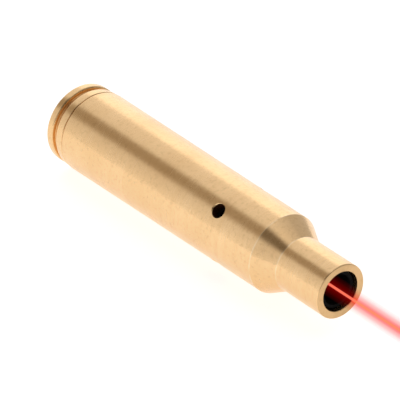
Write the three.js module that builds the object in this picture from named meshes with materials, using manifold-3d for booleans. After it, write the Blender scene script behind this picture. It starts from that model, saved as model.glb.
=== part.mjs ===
// Laser collimator (bore sighter): a brass shell in the shape of a 45 mm bottlenecked case that holds
// three button cells and a small red laser module, aimed by four radial screws about an O-ring.
// Millimetres. +X is the optical axis towards the mouth, +Z is up, and the origin is the centre of
// the rear base face.
import * as THREE from "three";
import { mergeVertices } from "three/addons/utils/BufferGeometryUtils.js";
import Module from "manifold-3d";

const wasm = await Module();
wasm.setup();

// ---- driving dimensions ----
const SIDES = 48; // facets round the shell; one facet faces straight down
const INNER_SIDES = 24; // facets round the pieces inside
const OVERSHOOT = 1; // how far a cutting tool reaches past the face it opens
const WELD = 1e-4; // points closer than this are one point

// shell
const CASE_LENGTH = 44.8;
const SEAM_X = 2.85; // rear face of the shell, where the base cap meets it
const BODY_REAR_R = 4.8;
const SHOULDER_X = 35.5;
const SHOULDER_R = 4.495;
const NECK_X = 38.1;
const NECK_R = 3.08;
const NECK_BORE_R = 2.25;
const EDGE = 0.1; // chamfer on the mouth's edges
const CELL_BORE_R = 3.95;
const CELL_BORE_END = 16.4;
const MODULE_BORE_R = 3.3;
const MODULE_BORE_END = 27.7;
const MODULE_BORE_TAPER = 0.3; // length of the cone from one bore to the next
const TUBE_BORE_R = 2.55;
const TUBE_BORE_END = 36.9;
const TUBE_BORE_TAPER = 0.4;

// base cap
const RIM_R = 4.72;
const RIM_X = 1.06;
const GROOVE_R = 4.2;
const GROOVE_FLOOR_END = 1.4;
const COLLAR_X = 1.8;
const COLLAR_R = 4.76;
const SEAM_GAP = 0.06;
const BOSS_R = 3.86; // crest of the male thread
const BOSS_ROOT_R = 3.6;
const BOSS_END = 5.9;
const BOSS_SIDES = 24;
const BOSS_LAP = 0.4; // how far the boss is rooted in the head
const RIM_BEVEL = { along: 0.2, inward: 0.15 };
const CAP_PITCH = 0.5;
const THREAD_STEPS = 4; // rings in each turn of thread
const SPRING_RECESS_R = 2.2;
const SPRING_RECESS_X = 3.2;
const SPRING_GAP = 0.05; // gap between a spring's end and what it bears on
const CAP_SPRING = { startR: 1.95, endR: 1.2, turns: 5, wireR: 0.17 };
const PAD_R = 2.2;
const PAD_DEPTH = 0.6;
const KEY_SLOT = { width: 0.9, depth: 0.7, inner: 2.75, outer: 4.1 };
const FIT = 0.03; // gap round a piece that is fitted in another

// cells
const CELL_COUNT = 3;
const CELL_R = 3.4;
const CELL_LENGTH = 2.6;
const CELL_GAP = 0.05;
const CELL_X = 8.0; // rear face of the first cell
const CAN_WALL = 0.22;
const CAN_SETBACK = 0.25; // the can's rim stops short of the lid's face
const SEAL_SETBACK = 0.2;
const LID_R = 2.9;
const LID_WALL = 0.2;
const LID_BEVEL = 0.15;
const LID_SETBACK = 0.35; // the lid's rim stops short of the can's face
const SLEEVE_R = 3.88;
const SLEEVE_INNER_R = 3.5;
const SLEEVE_X = 6.05;
const SLEEVE_END = 16.2;

// laser module
const HOUSING_X = 19.6;
const HOUSING_END = 27.3;
const HOUSING_R = 2.75;
const BOARD_BORE_R = 2.35;
const TUBE_R = 2.1;
const TUBE_END = 44.3; // the tube stops short of the mouth
const LENS_BORE_R = 1.7;
const LENS_SEAT_X = 39.75;
const LIGHT_BORE_R = 1.25;
const PIVOT_X = 39.2; // the module tilts about this point
const RING_GROOVE_R = 1.85;
const RING_GROOVE_WIDTH = 0.46;
const RING_WIRE_R = 0.18;
const RING_R = 2.05;
const RING_WIRE_SIDES = 8;

// laser diode
const HEADER_X = 25.25;
const HEADER_R = 1.92;
const HEADER_THICK = 0.95;
const CAN_R = 1.4;
const CAN_END = 28.1;
const CAN_SHELL = 0.15;
const CAN_SIDE_GAP = 0.06;
const CAN_END_GAP = 0.1;
const SEAT_GAP = 0.05; // gap at each face of the header in its seat
const WINDOW_R = 1.15;
const WINDOW_THICK = 0.25;
const APERTURE_R = 0.6;
const PIN_R = 0.18;
const PIN_CIRCLE_R = 0.7;
const PIN_COUNT = 3;
const PIN_SIDES = 8;
const POST = { length: 0.95, halfWidth: 0.45, bottom: -0.75, top: -0.15 };
const CHIP = { from: 0.6, to: 0.93, halfWidth: 0.1, bottom: -0.12, top: 0 };

// driver board
const BOARD_X = 20.9;
const BOARD_THICK = 0.6;
const BOARD_R = 2.3;
const DRIVER_CHIP = { height: 0.5, y: [1.05, 1.95], z: [-0.7, 0.7] };
const RESISTOR = { height: 0.35, y: [-1.9, -1.4], z: [-0.5, 0.5] };
const CAPACITOR = { height: 0.45, y: [-0.5, 0.5], z: [1.3, 1.8] };
const MODULE_SPRING = { from: 15.95, startR: 1.2, endR: 1.6, turns: 5, wireR: 0.15 };

// lens group
const LENS_X = 40.6;
const LENS_R = 1.64;
const LENS_EDGE = 0.7;
const LENS_CROWN = 0.35;
const RETAINER_X = 41.35;
const RETAINER_LENGTH = 0.8;
const RETAINER_R = 1.65;
const RETAINER_BORE_R = 1.27;
const RETAINER_NOTCH = { depth: 0.25, halfWidth: 0.2 };
const CROWN_GAP = 0.05; // gap between the lens crown and the retainer's bore
const LENS_SPRING = { rearGap: 0.04, frontGap: 0.16, r: 1.48, turns: 2, wireR: 0.1 };

// aiming screws
const SCREW_X = 28.75;
const SCREW_COUNT = 4;
const SCREW_CLOCK = Math.PI / 4; // the first screw leans 45 degrees off vertical
const SCREW_HOLE_R = 0.825;
const SCREW_HOLE_LENGTH = 4;
const SCREW_HOLE_MIDDLE = TUBE_BORE_R + 1.5; // distance from the optical axis
const SCREW_SIDES = 16;
const SCREW_R = 0.79;
const SCREW_TIP = TUBE_R + 0.04; // distance of the tip from the optical axis
const SCREW_TOP = 3.55;
const HEX_FLATS = 0.9;
const HEX_DEPTH = 0.7;
const HEX_SIDES = 6;

// wire springs
const WIRE_CORNERS = 6;
const COIL_STEPS = 12; // straight stretches in each turn

// ---- finishes ----
const finish = (color, roughness, metalness, extra = {}) => () =>
  new THREE.MeshStandardMaterial({ color, roughness, metalness, ...extra });
const brass = finish(0xd9b27a, 0.32, 1);
const springSteel = finish(0xb9bcc0, 0.3, 1);
const cellSteel = finish(0xc8cacc, 0.25, 1);
const blackSteel = finish(0x1b1a1a, 0.45, 0.8);
const blackAnodised = finish(0x121213, 0.5, 0.6);
const gold = finish(0xd8a648, 0.3, 1);
const blackRubber = finish(0x17171a, 0.8, 0);
const greyRubber = finish(0x4a4a4e, 0.75, 0);
const nylon = finish(0xe6e2d6, 0.6, 0);
const boardGreen = finish(0x1f5a37, 0.55, 0);
const chipBlack = finish(0x202124, 0.5, 0);
const ceramicTan = finish(0xa98a63, 0.6, 0);
const glass = finish(0xdfe9f2, 0.05, 0, { transparent: true, opacity: 0.35 });

// ---- solid helpers ----
function toSolid(geometry) {
  const bare = geometry.clone();
  bare.deleteAttribute("normal");
  bare.deleteAttribute("uv");
  const merged = mergeVertices(bare, WELD);
  return new wasm.Manifold(
    new wasm.Mesh({
      numProp: 3,
      vertProperties: new Float32Array(merged.attributes.position.array),
      triVerts: new Uint32Array(merged.index.array),
    }),
  );
}

function toGeometry(solid) {
  const mesh = solid.getMesh();
  const geometry = new THREE.BufferGeometry();
  geometry.setAttribute("position", new THREE.BufferAttribute(mesh.vertProperties, 3));
  geometry.setIndex(new THREE.BufferAttribute(mesh.triVerts, 1));
  geometry.computeVertexNormals();
  return geometry;
}

const cut = (geometry, ...tools) =>
  toGeometry(tools.reduce((solid, tool) => solid.subtract(toSolid(tool)), toSolid(geometry)));

const join = (a, b) => toGeometry(toSolid(a).add(toSolid(b)));

// Turns an outline of [x, radius] points about the X axis. The outline runs with the solid on its
// left, and it either starts and ends on the axis or is closed back to its first point.
function turned(outline, sides = INNER_SIDES) {
  const points = outline.map(([x, r]) => new THREE.Vector2(r, x)).reverse();
  if (outline[0][1] > 0) {
    points.push(points[0].clone());
  }
  const geometry = new THREE.LatheGeometry(points, sides, Math.PI / sides);
  return geometry.rotateZ(-Math.PI / 2);
}

// A plain ring or, with no inner radius, a plain disc between two places on the X axis.
function ring(from, to, outer, inner = 0, sides = INNER_SIDES) {
  const outline = [[from, inner], [from, outer], [to, outer], [to, inner]];
  return turned(outline.reverse(), sides);
}

// A rod along X whose surface carries a right-handed thread that fades out at both ends.
function threadedRod(from, to, crest, root, pitch, sides) {
  const length = to - from;
  const rings = Math.round((length / pitch) * THREAD_STEPS);
  const geometry = new THREE.CylinderGeometry(crest, crest, length, sides, rings);
  geometry.rotateZ(-Math.PI / 2).translate(from + length / 2, 0, 0);
  const position = geometry.attributes.position;
  for (let i = 0; i < position.count; i++) {
    const x = position.getX(i);
    const y = position.getY(i);
    const z = position.getZ(i);
    const r = Math.hypot(y, z);
    if (r < root) continue;
    const turns = (x - from) / pitch - Math.atan2(z, y) / (2 * Math.PI);
    const wave = 0.5 - 0.5 * Math.cos(2 * Math.PI * turns);
    const ends = THREE.MathUtils.clamp(Math.min(x - from, to - x) / pitch, 0, 1);
    const radius = root + (crest - root) * wave * ends;
    position.setXYZ(i, x, (y / r) * radius, (z / r) * radius);
  }
  return geometry;
}

// A round wire wound about the X axis from one radius to another.
class Helix extends THREE.Curve {
  constructor(from, to, startR, endR, turns) {
    super();
    Object.assign(this, { from, to, startR, endR, turns });
  }
  getPoint(t, target = new THREE.Vector3()) {
    const angle = 2 * Math.PI * this.turns * t;
    const r = THREE.MathUtils.lerp(this.startR, this.endR, t);
    const x = THREE.MathUtils.lerp(this.from, this.to, t);
    return target.set(x, r * Math.cos(angle), r * Math.sin(angle));
  }
}

function coil(from, to, { startR, endR, turns, wireR }) {
  const section = new THREE.Shape();
  for (let i = 0; i < WIRE_CORNERS; i++) {
    const angle = (2 * Math.PI * i) / WIRE_CORNERS;
    const point = [wireR * Math.cos(angle), wireR * Math.sin(angle)];
    if (i) section.lineTo(...point);
    else section.moveTo(...point);
  }
  section.closePath();
  return new THREE.ExtrudeGeometry(section, {
    extrudePath: new Helix(from + wireR, to - wireR, startR, endR, turns),
    steps: Math.round(turns * COIL_STEPS),
    bevelEnabled: false,
  });
}

function box(low, high) {
  const size = high.map((h, i) => h - low[i]);
  const middle = high.map((h, i) => (h + low[i]) / 2);
  return new THREE.BoxGeometry(...size).translate(...middle);
}

function piece(name, geometry, material) {
  const mesh = new THREE.Mesh(geometry, material());
  mesh.name = name;
  return mesh;
}

function group(...children) {
  const made = new THREE.Group();
  made.add(...children);
  return made;
}

// ---- shell: outer case form, stepped bore and the four tapped holes ----
function caseBody() {
  const outline = [
    [SEAM_X, CELL_BORE_R],
    [CELL_BORE_END, CELL_BORE_R],
    [CELL_BORE_END, MODULE_BORE_R],
    [MODULE_BORE_END, MODULE_BORE_R],
    [MODULE_BORE_END + MODULE_BORE_TAPER, TUBE_BORE_R],
    [TUBE_BORE_END, TUBE_BORE_R],
    [TUBE_BORE_END + TUBE_BORE_TAPER, NECK_BORE_R],
    [CASE_LENGTH - EDGE, NECK_BORE_R],
    [CASE_LENGTH, NECK_BORE_R + EDGE],
    [CASE_LENGTH, NECK_R - EDGE],
    [CASE_LENGTH - EDGE, NECK_R],
    [NECK_X, NECK_R],
    [SHOULDER_X, SHOULDER_R],
    [SEAM_X + EDGE / 2, BODY_REAR_R],
    [SEAM_X, BODY_REAR_R - EDGE / 2],
  ];
  const holes = screwAngles().map((angle) => {
    const hole = new THREE.CylinderGeometry(SCREW_HOLE_R, SCREW_HOLE_R, SCREW_HOLE_LENGTH, INNER_SIDES);
    hole.rotateX(Math.PI / 2).translate(SCREW_X, 0, SCREW_HOLE_MIDDLE);
    return hole.rotateX(angle);
  });
  return piece("case_body", cut(turned(outline, SIDES), ...holes), brass);
}

function screwAngles() {
  return Array.from({ length: SCREW_COUNT }, (_, i) => SCREW_CLOCK + (i * 2 * Math.PI) / SCREW_COUNT);
}

// ---- base cap: rim, extractor groove, collar, threaded boss, key slots and pad pocket ----
function baseCap() {
  const headEnd = SEAM_X - SEAM_GAP;
  const head = turned(
    [
      [headEnd, 0],
      [headEnd, COLLAR_R - EDGE / 2],
      [headEnd - EDGE / 2, COLLAR_R],
      [COLLAR_X, COLLAR_R],
      [GROOVE_FLOOR_END, GROOVE_R],
      [RIM_X, GROOVE_R],
      [RIM_X, RIM_R],
      [RIM_BEVEL.along, RIM_R],
      [0, RIM_R - RIM_BEVEL.inward],
      [0, PAD_R + FIT],
      [PAD_DEPTH + FIT, PAD_R + FIT],
      [PAD_DEPTH + FIT, 0],
    ],
    SIDES,
  );
  const boss = threadedRod(headEnd - BOSS_LAP, BOSS_END, BOSS_R, BOSS_ROOT_R, CAP_PITCH, BOSS_SIDES);
  const recess = ring(SPRING_RECESS_X, BOSS_END + OVERSHOOT, SPRING_RECESS_R);
  const { width, depth, inner, outer } = KEY_SLOT;
  const slots = [-1, 1].map((side) => {
    const ends = [side * inner, side * outer].sort((a, b) => a - b);
    return box([-OVERSHOOT, ends[0], -width / 2], [depth, ends[1], width / 2]);
  });
  return piece("base_cap", cut(join(head, boss), recess, ...slots), brass);
}

const primerPad = () => piece("primer_pad", ring(0, PAD_DEPTH, PAD_R), greyRubber);

const capSpring = () => {
  const wire = coil(SPRING_RECESS_X + SPRING_GAP, CELL_X - SPRING_GAP, CAP_SPRING);
  return piece("cap_contact_spring", wire, springSteel);
};

// ---- button cells in their insulating sleeve ----
function cell(index) {
  const rear = CELL_X + index * (CELL_LENGTH + CELL_GAP);
  const front = rear + CELL_LENGTH;
  const canInner = CELL_R - CAN_WALL;
  const can = turned([
    [front - CAN_WALL, 0],
    [front - CAN_WALL, canInner],
    [rear + CAN_SETBACK, canInner],
    [rear + CAN_SETBACK, CELL_R],
    [front - EDGE, CELL_R],
    [front, CELL_R - EDGE],
    [front, 0],
  ].reverse());
  const seal = ring(rear + SEAL_SETBACK, front - CAN_WALL - FIT, canInner - FIT, LID_R + FIT);
  const lid = turned([
    [rear, 0],
    [rear, LID_R - LID_BEVEL],
    [rear + LID_BEVEL, LID_R],
    [front - LID_SETBACK, LID_R],
    [front - LID_SETBACK, LID_R - LID_WALL],
    [rear + LID_WALL, LID_R - LID_WALL],
    [rear + LID_WALL, 0],
  ].reverse());
  const name = `cell_${index + 1}`;
  return group(
    piece(`${name}_can`, can, cellSteel),
    piece(`${name}_seal`, seal, nylon),
    piece(`${name}_lid`, lid, cellSteel),
  );
}

const batterySleeve = () =>
  piece("battery_sleeve", ring(SLEEVE_X, SLEEVE_END, SLEEVE_R, SLEEVE_INNER_R), nylon);

// ---- laser module: blackened tube, O-ring, lens group ----
function moduleBarrel() {
  const outline = [
    [HOUSING_X, BOARD_BORE_R],
    [HEADER_X - SEAT_GAP, BOARD_BORE_R],
    [HEADER_X - SEAT_GAP, HEADER_R + FIT],
    [HEADER_X + HEADER_THICK + SEAT_GAP, HEADER_R + FIT],
    [HEADER_X + HEADER_THICK + SEAT_GAP, CAN_R + CAN_SIDE_GAP],
    [CAN_END + CAN_END_GAP, CAN_R + CAN_SIDE_GAP],
    [CAN_END + CAN_END_GAP, LIGHT_BORE_R],
    [LENS_SEAT_X, LIGHT_BORE_R],
    [LENS_SEAT_X, LENS_BORE_R],
    [TUBE_END - EDGE, LENS_BORE_R],
    [TUBE_END, LENS_BORE_R + EDGE],
    [TUBE_END, TUBE_R],
    [PIVOT_X + RING_GROOVE_WIDTH / 2, TUBE_R],
    [PIVOT_X + RING_GROOVE_WIDTH / 2, RING_GROOVE_R],
    [PIVOT_X - RING_GROOVE_WIDTH / 2, RING_GROOVE_R],
    [PIVOT_X - RING_GROOVE_WIDTH / 2, TUBE_R],
    [HOUSING_END, TUBE_R],
    [HOUSING_END, HOUSING_R - EDGE],
    [HOUSING_END - EDGE, HOUSING_R],
    [HOUSING_X + EDGE, HOUSING_R],
    [HOUSING_X, HOUSING_R - EDGE],
  ];
  return piece("module_barrel", turned(outline), blackAnodised);
}

function pivotRing() {
  const torus = new THREE.TorusGeometry(RING_R, RING_WIRE_R, RING_WIRE_SIDES, INNER_SIDES);
  torus.rotateZ(Math.PI / INNER_SIDES).rotateY(Math.PI / 2).translate(PIVOT_X, 0, 0);
  return piece("pivot_ring", torus, blackRubber);
}

function lens() {
  const crownSteps = 4;
  const edgeX = LENS_X + LENS_EDGE;
  const crownR = RETAINER_BORE_R - CROWN_GAP;
  const crown = Array.from({ length: crownSteps + 1 }, (_, i) => {
    const along = i / crownSteps;
    return [edgeX + LENS_CROWN * (1 - (1 - along) ** 2), crownR * (1 - along)];
  });
  return piece(
    "collimating_lens",
    turned([[LENS_X, 0], [LENS_X, LENS_R], [edgeX, LENS_R], ...crown].reverse()),
    glass,
  );
}

function lensRetainer() {
  const end = RETAINER_X + RETAINER_LENGTH;
  const { depth, halfWidth } = RETAINER_NOTCH;
  const reach = RETAINER_R + OVERSHOOT;
  const notch = box([end - depth, -reach, -halfWidth], [end + OVERSHOOT, reach, halfWidth]);
  const body = ring(RETAINER_X, end, RETAINER_R, RETAINER_BORE_R);
  return piece("lens_retainer", cut(body, notch), blackAnodised);
}

const lensSpring = () => {
  const { rearGap, frontGap, r, turns, wireR } = LENS_SPRING;
  const wire = coil(LENS_SEAT_X + rearGap, LENS_X - frontGap, { startR: r, endR: r, turns, wireR });
  return piece("lens_spring", wire, springSteel);
};

// ---- laser diode: header, can, window, post, emitter and three pins ----
function diode() {
  const face = HEADER_X + HEADER_THICK + FIT;
  const canInner = CAN_R - CAN_SHELL;
  const can = turned([
    [face, canInner],
    [CAN_END - CAN_SHELL, canInner],
    [CAN_END - CAN_SHELL, APERTURE_R],
    [CAN_END, APERTURE_R],
    [CAN_END, CAN_R],
    [face, CAN_R],
  ]);
  const window = ring(CAN_END - CAN_SHELL - WINDOW_THICK, CAN_END - CAN_SHELL - FIT, WINDOW_R);
  const pins = Array.from({ length: PIN_COUNT }, (_, i) => {
    const angle = (i * 2 * Math.PI) / PIN_COUNT;
    const pin = ring(BOARD_X + BOARD_THICK + FIT, HEADER_X - FIT, PIN_R, 0, PIN_SIDES);
    pin.translate(0, PIN_CIRCLE_R * Math.sin(angle), PIN_CIRCLE_R * Math.cos(angle));
    return piece(`diode_pin_${i + 1}`, pin, gold);
  });
  const post = box([face, -POST.halfWidth, POST.bottom], [face + POST.length, POST.halfWidth, POST.top]);
  const chip = box(
    [face + CHIP.from, -CHIP.halfWidth, CHIP.bottom],
    [face + CHIP.to, CHIP.halfWidth, CHIP.top],
  );
  return group(
    piece("diode_header", ring(HEADER_X, HEADER_X + HEADER_THICK, HEADER_R), gold),
    piece("diode_can", can, gold),
    piece("diode_window", window, glass),
    piece("diode_post", post, gold),
    piece("laser_chip", chip, chipBlack),
    ...pins,
  );
}

// ---- driver board with its chip, resistor, capacitor and battery contact spring ----
function driver() {
  const face = BOARD_X + BOARD_THICK;
  const onBoard = face + FIT;
  const mounted = ({ height, y, z }) => box([onBoard, y[0], z[0]], [onBoard + height, y[1], z[1]]);
  const contact = coil(MODULE_SPRING.from, BOARD_X - SPRING_GAP, MODULE_SPRING);
  return group(
    piece("driver_board", ring(BOARD_X, face, BOARD_R), boardGreen),
    piece("driver_chip", mounted(DRIVER_CHIP), chipBlack),
    piece("driver_resistor", mounted(RESISTOR), ceramicTan),
    piece("driver_capacitor", mounted(CAPACITOR), ceramicTan),
    piece("module_contact_spring", contact, springSteel),
  );
}

// ---- aiming screws: flat-ended, hex-socketed, blackened ----
function aimScrew(index, angle) {
  const blank = turned(
    [
      [SCREW_TOP, 0],
      [SCREW_TOP, SCREW_R - EDGE],
      [SCREW_TOP - EDGE, SCREW_R],
      [SCREW_TIP + EDGE, SCREW_R],
      [SCREW_TIP, SCREW_R - EDGE],
      [SCREW_TIP, 0],
    ],
    SCREW_SIDES,
  );
  const corner = HEX_FLATS / Math.sqrt(3);
  const socket = ring(SCREW_TOP - HEX_DEPTH, SCREW_TOP + OVERSHOOT, corner, 0, HEX_SIDES);
  const screw = cut(blank, socket).rotateY(-Math.PI / 2).translate(SCREW_X, 0, 0).rotateX(angle);
  return piece(`aim_screw_${index + 1}`, screw, blackSteel);
}

// ---- the whole collimator ----
const shell = group(caseBody(), batterySleeve());
const cap = group(baseCap(), primerPad(), capSpring());
const cells = group(...Array.from({ length: CELL_COUNT }, (_, i) => cell(i)));
const optics = group(moduleBarrel(), pivotRing(), lensSpring(), lens(), lensRetainer());
const screws = group(...screwAngles().map((angle, i) => aimScrew(i, angle)));

const collimator = group(shell, cap, cells, optics, diode(), driver(), screws);

export default collimator;
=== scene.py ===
"""Laser bore sighter: the finished surfaces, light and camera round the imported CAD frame.

Lengths in this file are millimetres until mm() turns them into metres. +X is the optical axis
towards the mouth, +Z is up, and the origin is the centre of the rear base face.
"""
import math
import bmesh
import bpy
from mathutils import Matrix, Vector


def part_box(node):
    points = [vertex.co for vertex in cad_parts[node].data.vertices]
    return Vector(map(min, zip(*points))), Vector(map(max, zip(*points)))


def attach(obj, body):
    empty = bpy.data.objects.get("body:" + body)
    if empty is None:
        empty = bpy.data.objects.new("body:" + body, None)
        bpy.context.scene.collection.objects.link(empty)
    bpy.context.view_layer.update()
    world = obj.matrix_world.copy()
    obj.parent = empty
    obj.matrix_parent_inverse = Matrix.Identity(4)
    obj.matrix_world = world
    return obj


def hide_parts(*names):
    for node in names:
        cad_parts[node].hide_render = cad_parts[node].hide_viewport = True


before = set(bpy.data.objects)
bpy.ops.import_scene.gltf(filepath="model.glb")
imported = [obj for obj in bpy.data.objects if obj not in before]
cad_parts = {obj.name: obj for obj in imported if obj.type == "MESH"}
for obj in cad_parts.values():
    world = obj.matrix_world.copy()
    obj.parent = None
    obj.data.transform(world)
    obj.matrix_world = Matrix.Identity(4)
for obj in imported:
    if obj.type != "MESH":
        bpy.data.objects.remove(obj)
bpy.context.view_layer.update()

# ---- sizes ----
CASE_LOW, CASE_HIGH = (corner * 1000 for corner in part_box("case_body"))
SCREW_LOW, SCREW_HIGH = (corner * 1000 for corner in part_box("aim_screw_1"))
SEAM_X = CASE_LOW.x
CASE_LENGTH = CASE_HIGH.x
BODY_REAR_R = CASE_HIGH.y
SCREW_X = (SCREW_LOW.x + SCREW_HIGH.x) / 2
FLOOR_Z = CASE_LOW.z

SEGMENTS = 192  # round the shell
INNER_SEGMENTS = 96  # round the pieces inside
ARC_STEP = math.radians(12)
OVERSHOOT = 1.0  # how far a cutter reaches past the surface it cuts
FILLET_LEAD = 0.12  # a fillet has one more point each side, this share of its reach away

SHOULDER_X, SHOULDER_R = 35.5, 4.49
NECK_X, NECK_R = 38.1, 3.075
NECK_BORE_R = 2.25
MOUTH_EDGE = 0.13
CELL_BORE_R, CELL_BORE_END = 3.95, 16.4
MODULE_BORE_R, MODULE_BORE_END = 3.3, 27.7
TUBE_BORE_R, TUBE_BORE_END = 2.55, 36.9
HOLE_R, HOLE_CHAMFER = 0.825, 0.09
HOLE_START_R = TUBE_BORE_R - 0.6  # where a hole's cutter starts, inside the bore
MODULE_BORE_TAPER, TUBE_BORE_TAPER = 0.3, 0.4
EDGE_WEAR_AND_HIGHLIGHT = 0.1  # how far the rubbed wear and painted edge highlight reach either side of an edge

RIM_R, RIM_X = 4.7, 0.96
GROOVE_R, GROOVE_FLOOR_END = 4.2, 1.35
COLLAR_R, COLLAR_X = 4.745, 1.7
COLLAR_DROP = 0.05  # how far the collar falls away towards the groove
SEAM_GAP = 0.06
BOSS_R, BOSS_ROOT_R, BOSS_END, CAP_PITCH = 3.86, 3.62, 5.9, 0.5
THREAD_SETBACK, THREAD_RUNOUT, THREAD_STEPS = 0.1, 0.3, 12  # plain ends, and rings in each turn
RECESS_R, RECESS_X = 2.2, 3.2
PAD_R, PAD_DEPTH, PAD_GAP = 2.2, 0.6, 0.03
KEY_WIDTH, KEY_DEPTH, KEY_INNER, KEY_OUTER = 0.9, 0.7, 2.75, 4.1

CELL_COUNT, CELL_X, CELL_LENGTH, CELL_GAP = 3, 8.0, 2.6, 0.05
CELL_R, CAN_INNER_R, LID_R = 3.4, 3.18, 2.9
CELL_CAN_FLOOR, CELL_CAN_SETBACK, SEAL_GAP, SEAL_SETBACK = 0.22, 0.25, 0.03, 0.2
LID_SKIN, LID_SETBACK = 0.2, 0.35
SLEEVE_X, SLEEVE_END, SLEEVE_R, SLEEVE_INNER_R = 6.05, 16.2, 3.88, 3.5

HOUSING_X, HOUSING_END, HOUSING_R = 19.6, 27.3, 2.75
BOARD_BORE_R, TUBE_R, TUBE_END = 2.35, 2.1, 44.3
LENS_BORE_R, LENS_SEAT_X, LIGHT_BORE_R = 1.7, 39.75, 1.25
PIVOT_X, RING_R, RING_WIRE_R, RING_WIRE_SIDES = 39.2, 2.05, 0.18, 32
RING_GROOVE_R, RING_GROOVE_HALF = 1.85, 0.23
HEADER_X, HEADER_END, HEADER_R = 25.25, 26.2, 1.92
CAN_R, CAN_END, CAN_SHELL, APERTURE_R = 1.4, 28.1, 0.15, 0.6
SEAT_GAP, HEADER_SIDE_GAP, CAN_SIDE_GAP, CAN_END_GAP = 0.05, 0.03, 0.06, 0.1
WINDOW_R, WINDOW_THICK, WINDOW_GAP = 1.15, 0.22, 0.03
PIN_DOME, PIN_STEPS = 0.2, 12
BOARD_X, BOARD_END, BOARD_R = 20.9, 21.5, 2.3
LENS_X, LENS_EDGE_X, LENS_TOP, LENS_R = 40.6, 41.3, 41.65, 1.64
LENS_CROWN_GAP, LENS_CROWN_STEPS = 0.05, 8  # the crown clears its lock ring by the gap
RETAINER_X, RETAINER_END, RETAINER_R, RETAINER_BORE_R = 41.35, 42.15, 1.65, 1.27
NOTCH_WIDTH, NOTCH_DEPTH = 0.4, 0.25

SPRING_GAP = 0.05
COIL_STEPS, CLOSED_TURNS = 40, 0.7  # points in each turn, and how much of each end lies flat
CAP_SPRING = (1.95, 1.2, 5.5, 0.17)  # radius at the rear and at the front, turns, wire radius
MODULE_SPRING = (1.2, 1.6, 5.5, 0.15)
LENS_SPRING = (1.48, 1.48, 3, 0.1)
LENS_SPRING_X, LENS_SPRING_END = LENS_SEAT_X + 0.04, LENS_X - 0.16
CELLS_END = CELL_X + CELL_COUNT * (CELL_LENGTH + CELL_GAP) - CELL_GAP

SCREW_COUNT, SCREW_CLOCK = 4, math.radians(45)
SCREW_R, SCREW_TIP, SCREW_TOP, SCREW_PITCH = 0.79, 2.14, 3.55, 0.4
HEX_FLATS, HEX_DEPTH, HEX_POINT = 0.9, 0.7, 0.12
SCREW_THREAD_X, SCREW_THREAD_END, SCREW_THREAD_DEPTH = SCREW_TIP + 0.15, SCREW_TOP - 0.12, 0.12
THREAD_FADE = 0.4  # the share of a turn over which a thread fades in and out

# ---- camera ----
VIEW_AZIMUTH, VIEW_ELEVATION = math.radians(52.2), math.radians(30.42)
VIEW_DISTANCE = 331.7
VIEW_AIM = (21.94, -0.32, 0.29)
LENS_MM = 280.9
SENSOR_MM = 36.0

# ---- beam and floor ----
BEAM_START, BEAM_LENGTH = LENS_TOP + 0.2, 60.0
BEAM_FULL = 15.0  # the beam starts to fade this far past the mouth
CORE_R, GLOW_R, GLOW_LAYERS = 0.14, 1.2, 3
# What a layer of the beam lets through, what it adds, and how fast both fall away from its middle.
CORE_LIGHT = ((0.9, 0.6, 0.35), (0.6, 0.3, 0.2), 0.6)
GLOW_LIGHT = ((1.0, 0.6, 0.6), (0.05, 0.0, 0.0), 2.0)
FLOOR_HALF, FLOOR_GLOW = 1200.0, 0.76
FLOOR_LIGHT, FLOOR_DARK = (0.61, 0.61, 0.61), (0.59, 0.59, 0.59)


def mm(value):
    return value * 0.001


# ---- outlines ----
def rounded(corners, closed=True):
    """An outline of (x, r, fillet) corners as points, with each fillet drawn as an arc."""
    points = []
    count = len(corners)
    for i, (x, r, fillet) in enumerate(corners):
        corner = Vector((x, r))
        ends = not closed and i in (0, count - 1)
        if fillet <= 0 or ends:
            points.append(corner)
            continue
        before = Vector(corners[i - 1][:2]) - corner
        after = Vector(corners[(i + 1) % count][:2]) - corner
        half = before.angle(after) / 2
        reach = min(fillet / math.tan(half), 0.45 * before.length, 0.45 * after.length)
        back, ahead = before.normalized(), after.normalized()
        start, end = corner + back * reach, corner + ahead * reach
        radius = reach * math.tan(half)
        centre = corner + (back + ahead).normalized() * (radius / math.sin(half))
        steps = max(2, round((math.pi - 2 * half) / ARC_STEP))
        lead = FILLET_LEAD * reach
        points.append(start + back * lead)
        for k in range(steps + 1):
            spoke = (start - centre).normalized().slerp((end - centre).normalized(), k / steps)
            points.append(centre + spoke * radius)
        points.append(end + ahead * lead)
    return points


def even(points, longest, closed=True):
    """The same outline with extra points, so that no stretch is longer than longest."""
    made = []
    pairs = zip(points, points[1:] + points[:1]) if closed else zip(points, points[1:])
    for a, b in pairs:
        pieces = max(1, math.ceil((b - a).length / longest))
        made += [a.lerp(b, k / pieces) for k in range(pieces)]
    if not closed:
        made.append(points[-1])
    return made


# ---- meshes ----
def add_object(name, mesh):
    obj = bpy.data.objects.new(name, mesh)
    bpy.context.scene.collection.objects.link(obj)
    return obj


def smooth(mesh, sharp_angle=38):
    for polygon in mesh.polygons:
        polygon.use_smooth = True
    mesh.set_sharp_from_angle(angle=math.radians(sharp_angle))


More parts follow.
